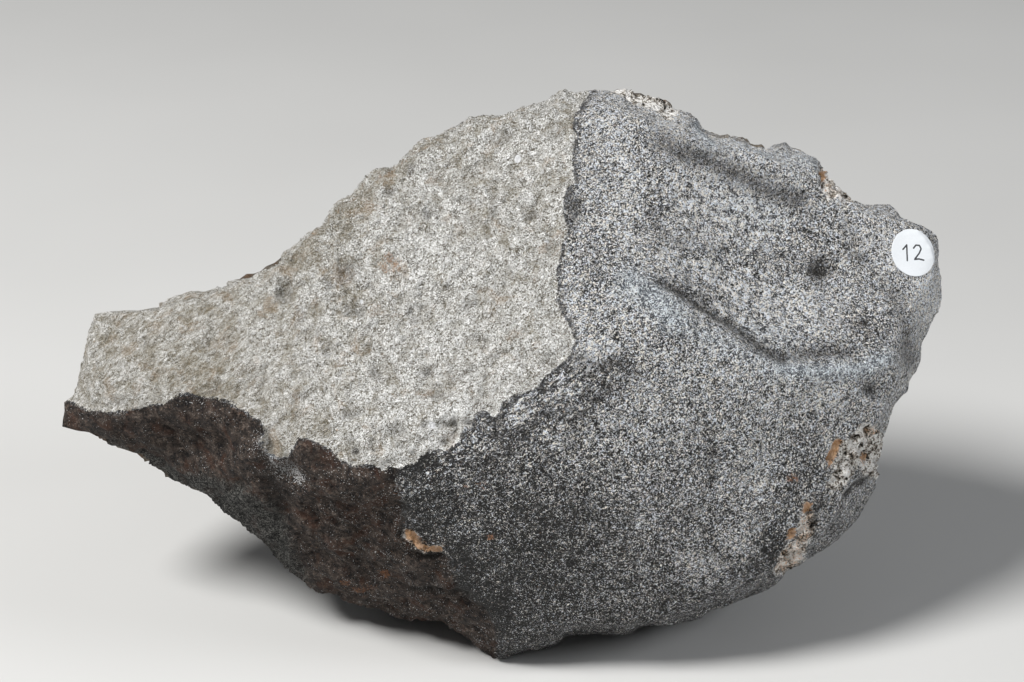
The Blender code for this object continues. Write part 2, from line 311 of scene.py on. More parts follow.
# Layers of unevenness: the pattern, the points that it is laid on, its size in millimetres, its octaves
# or tilt, its shift, and its height in millimetres.
LAYERS = {
    "hummocks": ((lumps, "plain", 7.5, 2, 0.0, 0.8), (ridges, "broken", 3.6, 3, 0.0, 0.8)),
    "steps": ((chunks, "broken", 1.7, 1.0, 0.0, 0.3), (chunks, "broken", 3.4, 0.9, 4.0, 0.35)),
    "long steps": ((lumps, "streaks", 1.6, 2, 3.0, 0.4), (chunks, "splinters", 1.7, 1.0, 0.0, 0.15)),
    "brown": (
        (lumps, "plain", 6.0, 3, 9.0, 0.9),
        (ridges, "broken", 3.0, 3, 4.0, 0.7),
        (chunks, "broken", 2.4, 0.8, 9.0, 0.3),
    ),
    "back": (
        (lumps, "plain", 9.0, 3, 2.0, 0.7),
        (ridges, "plain", 4.5, 4, 6.0, 0.6),
        (chunks, "broken", 3.6, 0.9, 2.0, 0.4),
    ),
    "crust": ((lumps, "plain", 5.0, 2, 7.0, 0.25), (lumps, "plain", 2.2, 2, 1.0, 0.14)),
    "wrinkles": ((ridges, "streaks", 2.2, 2, 2.0, 0.4),),
    "rim": ((lumps, "plain", 3.2, 2, 11.0, 0.35),),
    "rim grains": ((lumps, "plain", 0.9, 2, 13.0, 0.16),),
    "border": ((lumps, "plain", 2.0, 3, 0.0, 0.3),),
    "back border": ((lumps, "plain", 6.0, 4, 5.0, 1.6),),
    "chip border": ((lumps, "plain", 1.2, 2, 8.0, 0.3),),
    "chip end": ((lumps, "plain", 4.0, 3, 17.0, 1.6),),
    "chip crumbs": ((chunks, "plain", 1.2, 1.0, 6.0, 0.75),),
}
BREAK_SIZE = 1.5
BREAK_OCTAVES = 2
BREAK_SHIFT = 21.0
BREAK_REACH = 0.5
STREAK_TURN = math.radians(38.0)
STREAK_STRETCH = 3.0
SPLINTER_STRETCH = 2.2


def drawn_out(points, stretch):
    """Points squeezed along the heading of the streaks, so that lumps on them come out long."""
    along, across = turned(points, STREAK_TURN)
    return np.stack([along / stretch, across, points[:, 2]], axis=1)


def all_grounds(points):
    """The points that the layers are laid on, by name."""
    stray = [lumps(points, BREAK_SIZE, BREAK_OCTAVES, BREAK_SHIFT + axis) for axis in range(3)]
    broken = points + np.stack(stray, axis=1) * BREAK_REACH
    streaks = drawn_out(points, STREAK_STRETCH)
    splinters = drawn_out(broken, SPLINTER_STRETCH)
    return {"plain": points, "broken": broken, "streaks": streaks, "splinters": splinters}


def unevenness(grounds, name):
    """The layers of one name, added up, in millimetres."""
    total = 0.0
    for pattern, ground, size, detail, shift, rise in LAYERS[name]:
        total = total + pattern(grounds[ground], size, detail, shift) * rise
    return total


# The stone's skin: how finely its faces are cut, and how sharp its corners stay. A facing is 1 where the
# surface faces the camera, 0 where it is edge on, and below zero behind.
MERGE_WITHIN = 0.005
CREASE_FROM = math.radians(14.0)
CREASE_FULL = math.radians(45.0)
CREASE_MOST = 0.75
HALVED_FACING = -0.35
RIM_FACING = 0.22
PALE_MARGIN = 1.0
CRUST_LIP = 0.35

# Soft edges, from where they start to where they are full, by distance inside a border in millimetres,
# by how deep inside an oval, or by facing.
PALE_EDGE = (-0.2, 0.4)
BROWN_EDGE = (-0.5, 0.5)
BACK_EDGE = (-0.6, 0.6)
CHIP_EDGE = (-0.2, 0.4)
DISH_EDGE = (-0.05, 0.5)
MOUND_EDGE = (-0.5, 0.8)
RUST_EDGE = (-0.3, 0.5)
SHADE_EDGE = (-0.6, 0.7)
MOUND_FACING = (-0.5, 0.1)
FRONT_FACING = (-0.05, 0.12)
RIM_FADE = (0.1, 0.4)
RIM_GRAINS_FADE = (0.2, 0.5)
LEFT_END = (20.0, 50.0)
DIRT_AND_SHADE_DEPTH = (0.0, 0.6)
DIRT_AND_SHADE_HUMMOCKS = 0.5
WRINKLE_REACH = (-16.0, -3.0)
WRINKLE_ROWS = (335.0, 385.0)
PAPER_MARGIN = (0.3, 3.0)

# Where the surfaces end as the stone turns away: minus the facing there, and millimetres for each unit
# of facing. The pale face goes on further round the stone's left tip.
PALE_TURN = (0.22, 8.0)
BROWN_TURN = (0.25, 20.0)
CHIP_TURN = (0.16, 9.0)
TIP = (58.0, 64.0)
TIP_TURN = 0.5
TURN_WANDER = 3.0
BACK_SPREAD = 12.0
BACK_START = 0.4
BACK_HEADING = np.array([-0.45, 0.9, 0.0])
BACK_HEIGHT = 4.0
BACK_SLOPE = 0.5

# How the rim is drawn to the outline: steps of the round that are averaged, and the facing over which it
# fades, for its broad shape and for its fine teeth.
FIT_ROUNDS = 2
BROAD_SPREAD = 4
BROAD_FADE = (0.15, 0.65)
FINE_SPREAD = 1
FINE_FADE = (0.08, 0.35)

# Features of the stone, by picture points. Grooves and crests: line, half width and rise in
# millimetres, and how much painted shade a groove gets or how much gloss and painted sheen a crest gets.
GROOVES = (
    (((662, 140), (684, 152), (715, 161), (745, 178), (770, 191), (798, 199)), 2.0, -0.6, 0.8),
    (((660, 281), (680, 291), (700, 305), (722, 316)), 0.9, -0.7, 0.9),
    (((722, 316), (745, 334), (765, 350), (785, 360)), 1.0, -0.65, 0.8),
    (((785, 358), (815, 352), (850, 352)), 1.1, -0.5, 0.6),
    (((849, 222), (852, 245), (862, 262)), 1.2, -0.3, 0.4),
    (((893, 292), (906, 325), (913, 362)), 1.3, -0.5, 0.6),
    (((655, 215), (668, 245), (690, 240)), 1.2, -0.15, 0.3),
    (((577, 357), (600, 366), (622, 362)), 0.8, -0.2, 0.6),
    (((404, 550), (420, 553), (432, 557), (442, 557)), 0.45, -0.9, 1.3),
    (((408, 590), (440, 590), (452, 590), (467, 595)), 0.45, -0.8, 1.2),
    (((393, 585), (410, 589)), 0.4, -0.4, 0.8),
    (((402, 526), (399, 532), (403, 536)), 0.35, -0.4, 0.9),
    (((403, 506), (404, 520)), 0.6, -0.4, 0.9),
    (((262, 432), (266, 460), (272, 490), (278, 515)), 1.1, -0.6, 0.6),
    (((540, 413), (565, 419), (580, 417), (592, 408)), 0.35, -0.25, 0.8),
    (((486, 438), (505, 434), (530, 429), (538, 424)), 0.3, -0.2, 0.7),
    (((530, 480), (548, 462), (575, 445)), 0.35, -0.2, 0.6),
    (((596, 398), (615, 384), (640, 372)), 0.5, -0.2, 0.5),
    (((488, 462), (505, 452), (512, 444)), 0.4, -0.3, 0.7),
    (((846, 497), (858, 486), (872, 480)), 0.5, -0.4, 1.0),
    (((822, 500), (817, 516), (813, 530)), 0.4, -0.3, 0.8),
    (((417, 537), (422, 541), (427, 542)), 0.25, -0.2, 0.8),
)
CRESTS = (
    (((632, 284), (655, 300), (672, 318)), 2.6, 0.8, 0.9),
    (((690, 330), (735, 350), (770, 366)), 1.8, 0.45, 0.4),
    (((778, 368), (815, 372), (860, 370), (886, 358)), 1.3, 0.6, 1.0),
    (((700, 148), (745, 148), (790, 160)), 1.6, 0.35, 0.3),
    (((697, 123), (704, 134), (712, 146)), 0.7, 0.25, 1.0),
    (((762, 152), (772, 155)), 0.8, 0.2, 0.9),
    (((738, 202), (768, 212)), 3.2, 0.35, 0.3),
    (((755, 330), (785, 336)), 2.0, 0.4, 0.3),
    (((800, 160), (814, 164)), 1.2, 0.4, 0.6),
    (((262, 440), (282, 472), (296, 478)), 1.6, 0.0, 1.0),
    (((190, 398), (215, 412)), 1.2, 0.2, 0.35),
)
# Mounds and pits: middle, half widths and turn in the picture, rise in millimetres, and painted shade.
MOUNDS = (
    (783, 147, 8, 8, 0, 1.0, 0.3), (430, 573, 24, 17, 0, 0.6, 0.0), (440, 608, 26, 10, 20, 0.4, 0.0),
    (210, 425, 34, 16, 12, 0.5, 0.0), (330, 500, 40, 22, 35, 0.5, 0.0), (358, 286, 5, 22, -12, 0.45, 0.0),
    (821, 268, 13, 12, 0, -1.1, 1.0), (871, 390, 7, 8, 0, -0.5, 0.9), (864, 322, 6, 5, 0, -0.3, 0.6),
    (427, 213, 6, 5, 0, -0.8, 0.6), (388, 190, 7, 5, 0, -0.4, 0.5), (411, 168, 6, 7, 20, -0.4, 0.4),
    (393, 259, 6, 5, 0, -0.4, 0.3), (354, 450, 4, 4, 0, -0.6, 1.0), (284, 290, 8, 14, 15, -1.2, 0.35),
    (345, 272, 10, 12, 25, -1.1, 0.35), (350, 309, 14, 8, 10, -1.0, 0.3), (329, 283, 6, 6, 0, -0.5, 0.4),
    (501, 134, 20, 8, -28, -0.5, 0.3), (558, 128, 10, 12, 30, -0.5, 0.3), (491, 210, 5, 14, 20, -0.4, 0.3),
    (531, 212, 8, 6, 0, -0.4, 0.4), (411, 315, 4, 16, -15, -0.4, 0.3), (467, 304, 10, 5, -30, -0.4, 0.4),
    (425, 370, 11, 5, -20, -0.5, 0.5), (463, 373, 18, 5, -30, -0.4, 0.3), (374, 372, 5, 12, -30, -0.4, 0.3),
    (437, 394, 12, 5, 10, -0.4, 0.3), (395, 432, 12, 5, -15, -0.5, 0.4), (424, 425, 5, 8, 20, -0.5, 0.4),
    (349, 414, 12, 5, -10, -0.4, 0.4), (300, 316, 5, 12, 20, -0.4, 0.3), (325, 352, 5, 6, 0, -0.3, 0.4),
    (300, 395, 14, 5, -25, -0.4, 0.3), (286, 470, 14, 15, 25, -0.8, 0.5), (318, 462, 12, 8, 20, -0.6, 0.4),
    (573, 207, 8, 18, 0, -0.2, 0.8),
)
# Chips that show the inside of the stone: corners, depth, and how orange they are.
CHIPS = (
    (((600, 89), (604, 70), (640, 70), (700, 95), (679, 110), (672, 118), (660, 112), (650, 106),
      (636, 103), (622, 98), (610, 94)), 0.5, 0.05),
    (((822, 164), (840, 160), (860, 198), (850, 203), (838, 197), (826, 200), (821, 185)), 0.6, 0.25),
    (((402, 530), (411, 528), (419, 536), (424, 542), (430, 547), (443, 545), (443, 552), (435, 555),
      (424, 549), (412, 542), (404, 536)), 0.2, 0.85),
    (((839, 433), (842, 441), (838, 455), (832, 468), (827, 471), (827, 455)), 0.5, 1.0),
    (((862, 424), (874, 426), (885, 434), (900, 440), (890, 480), (868, 478), (858, 465), (842, 492),
      (826, 490), (836, 470), (842, 445), (852, 436)), 0.35, 0.12),
    (((862, 452), (874, 455), (872, 463), (862, 465)), 0.45, 0.8),
    (((803, 502), (813, 503), (811, 513), (803, 517)), 0.5, 0.9),
    (((790, 526), (798, 529), (797, 540), (787, 541)), 0.5, 0.85),
    (((800, 516), (814, 512), (818, 525), (808, 545), (812, 556), (790, 580), (776, 575), (778, 558),
      (788, 544), (797, 540)), 0.3, 0.35),
)
OFF_CHIPS = -9.0
# Middle and half widths in the picture, and how orange each spot is.
SPOTS_OF_RUST = (
    (490, 537, 3, 4, 0.6), (399, 494, 2, 4, 0.6), (466, 487, 5, 3, 0.4), (481, 484, 7, 4, 0.3),
    (345, 582, 7, 6, 0.5), (383, 577, 6, 7, 0.5), (390, 258, 7, 6, 0.5), (792, 478, 7, 5, 0.5),
    (873, 432, 10, 5, 0.5), (826, 172, 4, 6, 0.9), (390, 266, 16, 10, 0.45), (300, 232, 14, 6, 0.4),
    (384, 172, 12, 5, 0.4), (400, 160, 8, 4, 0.4), (362, 590, 16, 5, 0.4),
)
# Middle and half widths of each grain.
WHITE_GRAINS = ((517, 158, 4.5, 4.5), (432, 425, 4.5, 4.5), (546, 240, 2, 2), (360, 300, 2, 2))
GRAIN_FACING = 0.2
# The two floors of the big hollow in the crust: middle, half widths and turn in the picture, depth.
DISHES = ((744, 290, 88, 42, 32, 1.1), (728, 212, 80, 38, 22, 0.8))
# Lighter and darker patches, partly the skin's own tone and partly painted light and shade: middle,
# half widths, turn, and lightness.
SHADES = (
    (612, 122, 26, 30, 0, 0.3), (652, 165, 12, 48, 0, -0.6), (584, 222, 12, 45, 0, -0.3),
    (612, 275, 26, 22, 0, -0.5), (742, 200, 60, 30, 18, 0.7), (742, 254, 55, 8, 5, -0.5),
    (780, 300, 60, 24, 25, 0.5), (815, 240, 34, 40, 0, -0.6), (882, 235, 20, 34, -10, 0.6),
    (926, 292, 14, 28, 0, 1.5), (872, 326, 26, 16, 0, -0.6), (850, 347, 26, 8, 0, -0.4),
    (700, 294, 24, 10, 30, -0.8), (612, 366, 32, 12, -25, -0.5), (822, 390, 30, 18, 0, 0.5),
    (742, 538, 22, 20, 0, 0.7), (700, 565, 24, 14, 0, 0.6), (760, 470, 42, 25, -35, 0.4),
    (655, 430, 36, 24, -30, 0.1), (415, 464, 32, 10, -20, -0.7), (430, 512, 30, 28, 0, -0.5),
    (540, 530, 70, 60, 0, -0.5), (820, 522, 18, 14, 0, -0.5), (768, 560, 24, 9, -30, -0.6),
    (715, 455, 26, 18, 0, -0.4), (668, 128, 16, 32, 0, 1.2), (755, 148, 50, 12, 12, 1.1),
    (742, 173, 44, 12, 35, 0.8), (652, 345, 20, 14, 0, 0.5), (816, 522, 14, 12, 0, 0.9),
    (486, 582, 14, 18, 0, 0.6), (812, 162, 16, 10, 30, 0.9), (848, 205, 20, 8, 20, 0.8),
    (492, 432, 34, 14, -35, 0.6), (150, 352, 85, 44, 0, -0.15), (215, 390, 24, 10, 0, -0.5),
    (334, 216, 74, 20, -42, -1.2), (300, 268, 24, 24, 0, -0.5), (349, 288, 10, 34, -10, -1.1),
    (270, 312, 14, 20, 0, -0.5), (300, 422, 30, 12, 0, -0.4), (512, 126, 26, 14, -30, -0.6),
    (566, 122, 12, 20, 0, -0.5), (452, 424, 40, 18, -35, 1.6), (500, 385, 40, 26, -30, 1.0),
    (420, 230, 30, 26, 0, 0.3), (460, 130, 40, 8, -25, -0.5), (395, 172, 20, 8, -40, -0.5),
    (272, 446, 16, 12, 0, -1.2), (240, 300, 60, 10, -15, -0.3), (383, 250, 14, 14, 0, -0.4),
    (540, 180, 14, 30, 0, -0.2), (478, 590, 50, 22, 55, -1.0), (590, 352, 26, 16, 0, 0.8),
    (545, 398, 24, 12, -40, 0.4), (562, 318, 20, 30, 0, 0.6), (660, 215, 14, 26, 0, -0.5),
    (796, 462, 26, 34, 0, -0.5), (258, 372, 30, 14, 0, 0.5), (770, 540, 26, 12, 0, -0.6),
    (503, 226, 8, 22, 0, -0.6), (668, 340, 24, 12, 0, -0.6), (868, 274, 16, 12, 0, -0.6),
    (603, 396, 16, 8, -30, -0.6), (415, 146, 30, 8, -35, -0.7), (200, 372, 46, 26, 0, -0.7),
    (430, 330, 60, 70, 0, 0.4),
)


def outline_reach(angles):
    """How far the outline lies from its middle at each angle, in pixels."""
    middle = np.array(OUTLINE_MIDDLE, float)
    heading = np.stack([np.cos(angles), np.sin(angles)], axis=1)
    reach = np.zeros(len(angles))
    for start, end in zip(OUTLINE, (*OUTLINE[1:], OUTLINE[0])):
        start = np.array(start) - middle
        run = np.array(end) - middle - start
        across = heading[:, 0] * run[1] - heading[:, 1] * run[0]
        along = (start[0] * run[1] - start[1] * run[0]) / across
        part = (start[0] * heading[:, 1] - start[1] * heading[:, 0]) / across
        reach = np.where((part >= 0.0) & (part <= 1.0) & (along > reach), along, reach)
    return reach


def eased_round(values, spread):
    """Values round a circle, each averaged with its neighbours."""
    steps = np.arange(-3 * spread, 3 * spread + 1)
    shares = np.exp(-0.5 * (steps / spread) ** 2)
    return sum(np.roll(values, step) * share for step, share in zip(steps, shares)) / shares.sum()


def fit_outline(points, facing):
    """Moves the rim in or out, square to the camera's sight, until it meets the outline."""
    seen = in_picture(points) - np.array(OUTLINE_MIDDLE, float)
    angle = np.arctan2(seen[:, 1], seen[:, 0])
    step = (angle + math.pi) / math.tau * OUTLINE_STEPS
    reach = np.zeros(OUTLINE_STEPS)
    np.maximum.at(reach, step.astype(int) % OUTLINE_STEPS, np.linalg.norm(seen, axis=1))
    reach = np.maximum(reach, np.minimum(np.roll(reach, 1), np.roll(reach, -1)))
    middles = (np.arange(OUTLINE_STEPS) + 0.5) / OUTLINE_STEPS * math.tau - math.pi
    gap = outline_reach(middles) - reach
    broad = eased_round(gap, BROAD_SPREAD)
    fine = eased_round(gap, FINE_SPREAD) - broad
    at = np.append(middles, middles[0] + math.tau)
    wrapped = np.where(angle < at[0], angle + math.tau, angle)
    away = np.zeros(len(points))
    for part, fade in ((broad, BROAD_FADE), (fine, FINE_FADE)):
        away += np.interp(wrapped, at, np.append(part, part[0])) * (1.0 - smooth(np.abs(facing), *fade))
    away *= (EYE[2] - points[:, 2]) / FOCAL_PIXELS
    return points + np.stack([np.cos(angle) * away, -np.sin(angle) * away, np.zeros(len(points))], axis=1)


def crease_corners(mesh):
    """Marks the sharper edges, so that rounding leaves them crisp."""
    layer = mesh.edges.layers.float.new("crease_edge")
    for edge in mesh.edges:
        bend = abs(edge.calc_face_angle_signed())
        edge[layer] = CREASE_MOST * float(smooth(bend, CREASE_FROM, CREASE_FULL))


def rounded_cage():
    """The solid's facets joined to quads and rounded off once."""
    mesh = bmesh.new()
    mesh.from_mesh(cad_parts["meteorite"].data)
    bmesh.ops.remove_doubles(mesh, verts=mesh.verts[:], dist=MERGE_WITHIN * MM)
    bmesh.ops.join_triangles(
        mesh, faces=mesh.faces[:], angle_face_threshold=math.pi, angle_shape_threshold=math.pi
    )
    crease_corners(mesh)
    cage = add_object("skin_cage", finished(mesh, "skin_cage"))
    rounding = cage.modifiers.new("rounding", "SUBSURF")
    rounding.levels = 1
    rounding.render_levels = 1
    bpy.context.view_layer.update()
    rounded = cage.evaluated_get(bpy.context.evaluated_depsgraph_get())
    mesh = bmesh.new()
    mesh.from_mesh(rounded.data)
    bpy.data.objects.remove(cage)
    return mesh


def refine(mesh, choose):
    """Halves the faces that are chosen by place and facing, and eases the new points."""
    points = to_face(np.array([vert.co[:] for vert in mesh.verts]))
    normals = np.array([vert.normal[:] for vert in mesh.verts]) @ TURN
    wanted = choose(in_picture(points), facing_eye(points, normals))
    mesh.verts.index_update()
    chosen = [face for face in mesh.faces if all(wanted[vert.index] for vert in face.verts)]
    edges = list({edge for face in chosen for edge in face.edges})
    bmesh.ops.subdivide_edges(mesh, edges=edges, cuts=1, use_grid_fill=True)
    mesh.verts.index_update()
    fresh = [vert for vert in mesh.verts if vert.index >= len(points)]
    bmesh.ops.smooth_vert(
        mesh, verts=fresh, factor=0.5, use_axis_x=True, use_axis_y=True, use_axis_z=True
    )
    mesh.normal_update()


def worth_halving(_seen, facing):
    """All that the camera sees, and a strip beyond the rim."""
    return facing > HALVED_FACING


def worth_quartering(seen, facing):
    """The pale broken face and the rim."""
    pale = (area_distance(seen, PALE_FACE) > -PALE_MARGIN) & (facing > 0.0)
    return pale | (np.abs(facing) < RIM_FACING)


def facing_eye(points, normals):
    """1 where the surface faces the camera, 0 where it is edge on, below zero behind."""
    sight = EYE - points
    sight = sight / np.linalg.norm(sight, axis=1)[:, None]
    return (normals * sight).sum(axis=1)


def vertex_normals(data):
    found = np.empty(len(data.vertices) * 3, np.float32)
    data.vertex_normals.foreach_get("vector", found)
    return found.reshape(-1, 3).astype(float) @ TURN


def vertex_points(data):
    found = np.empty(len(data.vertices) * 3, np.float32)
    data.vertices.foreach_get("co", found)
    return to_face(found.reshape(-1, 3).astype(float))


def move_vertices(data, points):
    data.vertices.foreach_set("co", to_world(points).astype(np.float32).ravel())
    data.update()


def keep_value(data, name, values):
    """Stores one number for each vertex, for the material to read."""
    layer = data.attributes.new(name, "FLOAT", "POINT")
    layer.data.foreach_set("value", values.astype(np.float32))


def turned_in(facing, border):
    """Distance in millimetres from where the surface turns away, above zero on the camera's side."""
    turn, spread = border
    return (facing + turn) * spread


def areas_of(points, seen, facing):
    """Signed distances in millimetres to the borders of the stone's different surfaces."""
    plain = {"plain": points}
    wander = unevenness(plain, "border")
    behind = -facing * BACK_SPREAD - BACK_START
    upper_left = (points @ BACK_HEADING - BACK_HEIGHT) * BACK_SLOPE
    tip = smooth(-points[:, 0], *TIP)
    pale_end = turned_in(facing + TIP_TURN * tip, PALE_TURN) + wander * TURN_WANDER
    return {
        "pale": np.minimum(area_distance(seen, PALE_FACE) + wander, pale_end),
        "brown": np.minimum(area_distance(seen, BROWN_FACE) + wander, turned_in(facing, BROWN_TURN)),
        "grey": area_distance(seen, GREY_SKIN),
        "back": np.minimum(behind, upper_left) + unevenness(plain, "back border"),
    }


def surface_relief(points, seen, facing, areas):
    """How far the broken and melted surfaces rise, in millimetres, and the marks that come with them."""
    grounds = all_grounds(points)
    pale = smooth(areas["pale"], *PALE_EDGE)
    brown = smooth(areas["brown"], *BROWN_EDGE) * (1.0 - pale)
    back = smooth(areas["back"], *BACK_EDGE) * (1.0 - pale) * (1.0 - brown)
    crust = (1.0 - pale) * (1.0 - brown) * (1.0 - back)
    rim = 1.0 - smooth(np.abs(facing), *RIM_FADE)
    left = smooth(-points[:, 0], *LEFT_END)
    wrinkled = smooth(-line_distance(seen, CRUST_SIDE), *WRINKLE_REACH) * smooth(seen[:, 1], *WRINKLE_ROWS)

    hummocks = unevenness(grounds, "hummocks")
    steps = unevenness(grounds, "steps") * (1.0 - left) + unevenness(grounds, "long steps") * left
    height = pale * (hummocks + steps - CRUST_LIP)
    height += brown * unevenness(grounds, "brown")
    height += back * unevenness(grounds, "back")
    height += crust * (unevenness(grounds, "crust") + wrinkled * unevenness(grounds, "wrinkles"))
    height += rim * unevenness(grounds, "rim")
    # Dirt and painted shade in the hollows of the pale face.
    dirt = smooth(-(hummocks * DIRT_AND_SHADE_HUMMOCKS + steps), *DIRT_AND_SHADE_DEPTH) * pale
    return height, {"dirt": dirt, "wrinkle": wrinkled * crust}


def feature_relief(seen, facing):
    """How far the dishes, grooves, crests and mounds rise, in millimetres, with painted shade, gloss and
    sheen.
    """
    front = smooth(facing, *FRONT_FACING)
    height, dish, soot, gloss = np.zeros((4, len(seen)))
    for *place, depth in DISHES:
        sunk = smooth(oval(seen, *place), *DISH_EDGE) * front
        height -= sunk * depth
        np.maximum(dish, sunk, out=dish)
    # Grooves get painted shade; crests get gloss and a painted sheen.
    for lines, mark in ((GROOVES, soot), (CRESTS, gloss)):
        for line, width, rise, strength in lines:
            near = np.exp(-((line_distance(seen, line) / width) ** 2)) * front
            height += near * rise
            np.maximum(mark, near * strength, out=mark)
    for *place, rise, dark in MOUNDS:
        near = smooth(oval(seen, *place), *MOUND_EDGE) * smooth(facing, *MOUND_FACING)
        height += near * rise
        np.maximum(soot, near * dark, out=soot)
    return height, {"dish": dish, "soot": soot, "gloss": gloss}


def chip_relief(points, seen, facing, areas):
    """How far the chips rise, in millimetres, with the rust and the patches of tone, light and shade painted
    on the whole stone.
    """
    plain = {"plain": points}
    front = smooth(facing, *FRONT_FACING)
    crusted = 1.0 - smooth(areas["pale"], *PALE_EDGE)
    ragged = unevenness(plain, "chip border")
    seen_side = turned_in(facing, CHIP_TURN) + unevenness(plain, "chip end")
    crumbs = unevenness(plain, "chip crumbs")
    height, rust, shade = np.zeros((3, len(points)))
    chip = np.full(len(points), OFF_CHIPS)
    for corners, depth, orange in CHIPS:
        inside = np.minimum(area_distance(seen, corners) + ragged, seen_side)
        near = smooth(inside, *CHIP_EDGE)
        height -= near * (depth + crumbs) * crusted
        chip = np.maximum(chip, inside)
        rust = np.maximum(rust, near * orange)
    for *place, orange in SPOTS_OF_RUST:
        rust = np.maximum(rust, smooth(oval(seen, *place), *RUST_EDGE) * front * orange)
    # Patches of the stone's own tone and of painted light and shade.
    for *place, light in SHADES:
        shade += smooth(oval(seen, *place), *SHADE_EDGE) * front * light
    return height, {"chip": chip, "rust": rust, "shade": shade}


def make_stone():
    """The solid's facets rounded off, cut finer where they show, and given their relief and outline."""
    mesh = rounded_cage()
    refine(mesh, worth_halving)
    refine(mesh, worth_quartering)
    data = finished(mesh, "meteorite_skin")
    data.shade_smooth()

    points = vertex_points(data)
    normals = vertex_normals(data)
    seen = in_picture(points)
    facing = facing_eye(points, normals)
    areas = areas_of(points, seen, facing)
    surface, marks = surface_relief(points, seen, facing, areas)
    features, feature_marks = feature_relief(seen, facing)
    chips, chip_marks = chip_relief(points, seen, facing, areas)
    from_paper = np.linalg.norm(points - PAPER_SEAT, axis=1) - PAPER_RADIUS
    calm = smooth(from_paper, *PAPER_MARGIN)
    points = points + normals * ((surface + features + chips) * calm)[:, None]
    for _ in range(FIT_ROUNDS):
        points = fit_outline(points, facing)
    rough = (1.0 - smooth(np.abs(facing), *RIM_GRAINS_FADE)) * calm
    points = points + normals * (unevenness({"plain": points}, "rim grains") * rough)[:, None]
    below = np.maximum(-to_world(points)[:, 2], 0.0) / MM
    points = points + np.outer(below, TURN[2])
    move_vertices(data, points)

    grain = np.zeros(len(points))
    for place in WHITE_GRAINS:
        grain = np.maximum(grain, oval(seen, *place) * (facing > GRAIN_FACING))
    places = {"grain": grain, "rise": points[:, 1], "right": points[:, 0]}
    for name, values in {**areas, **marks, **feature_marks, **chip_marks, **places}.items():
        keep_value(data, name, values)
    return add_object("meteorite_stone", data)


# The paper dot.
PAPER_RINGS = 40
PAPER_SPOKES = 120
PAPER_THICKNESS = 0.08
PAPER_CLEAR = 0.05
PAPER_HOVER = 5.0
PAPER_SAG = 1.0
PAPER_REACH = 9.0
PAPER_EASE_ROUNDS = 6
SPIN_MERGE = 0.001
# A plain number, as pen lines in millimetres on the dot.
PEN_LINES = (
    ((-1.9, 0.5), (-1.15, 1.25), (-1.25, -1.35)),
    ((0.05, 0.75), (0.5, 1.25), (1.15, 1.2), (1.4, 0.65), (1.0, -0.1), (0.1, -1.15)),
    ((0.1, -1.15), (0.9, -1.05), (1.75, -1.25)),
)
PEN_WIDTH = 0.17


def paper_axes():
    """Two directions across the paper and the one it faces, in face axes."""
    across = np.cross([0.0, 1.0, 0.0], PAPER_FACING)
    across = across / np.linalg.norm(across)
    up = np.cross(PAPER_FACING, across)
    return across, up


def make_paper(stone):
    """A round of paper pressed onto the stone, bending down where the rim falls away."""
    mesh = bmesh.new()
    spoke = []
    for ring in range(PAPER_RINGS + 1):
        spoke.append(mesh.verts.new((PAPER_RADIUS * ring / PAPER_RINGS, 0.0, 0.0)))
    edges = [mesh.edges.new(pair) for pair in zip(spoke[:-1], spoke[1:])]
    bmesh.ops.spin(
        mesh, geom=spoke + edges, axis=(0, 0, 1), cent=(0, 0, 0), angle=math.tau,
        steps=PAPER_SPOKES, use_merge=True,
    )
    bmesh.ops.remove_doubles(mesh, verts=mesh.verts[:], dist=SPIN_MERGE)
    skin = BVHTree.FromObject(stone, bpy.context.evaluated_depsgraph_get())
    across, up = paper_axes()
    spots = np.array([vert.co[:2] for vert in mesh.verts])
    away = Vector(TURN @ -PAPER_FACING)
    for vert, (x, y) in zip(mesh.verts, spots):
        start = Vector(to_world(PAPER_SEAT + across * x + up * y + PAPER_FACING * PAPER_HOVER))
        hit = skin.ray_cast(start, away, PAPER_REACH * MM)[0]
        rise = PAPER_HOVER - (hit - start).length / MM if hit else -PAPER_SAG
        vert.co.z = max(rise, -PAPER_SAG) + PAPER_CLEAR
    for _ in range(PAPER_EASE_ROUNDS):
        bmesh.ops.smooth_vert(mesh, verts=mesh.verts[:], factor=0.5, use_axis_z=True)
    for vert in mesh.verts:
        vert.co = to_world(PAPER_SEAT + across * vert.co.x + up * vert.co.y + PAPER_FACING * vert.co.z)
    bmesh.ops.recalc_face_normals(mesh, faces=mesh.faces[:])
    ahead = Vector(TURN @ PAPER_FACING)
    if sum(face.normal.dot(ahead) for face in mesh.faces) < 0.0:
        bmesh.ops.reverse_faces(mesh, faces=mesh.faces[:])
    ink = mesh.verts.layers.float.new("ink")
    reach = np.min([flat_distance(spots, line) for line in PEN_LINES], axis=0)
    for vert, far in zip(mesh.verts, reach):
        vert[ink] = PEN_WIDTH - far
    data = finished(mesh, "paper_dot")
    data.shade_smooth()
    paper = add_object("paper_dot", data)
    wall = paper.modifiers.new("thickness", "SOLIDIFY")
    wall.thickness = PAPER_THICKNESS * MM
    wall.offset = 1.0
    return paper


# Materials.
class Value:
    """One output of a shader node, so that maths on it reads as Python."""

    def __init__(self, paint, socket):
        self.paint = paint
        self.socket = socket

    def __add__(self, other):
        return self.paint.math("ADD", self, other)

    def __sub__(self, other):
        return self.paint.math("SUBTRACT", self, other)

    def __rsub__(self, other):
        return self.paint.math("SUBTRACT", other, self)

    def __mul__(self, other):
        return self.paint.math("MULTIPLY", self, other)

    __radd__ = __add__
    __rmul__ = __mul__


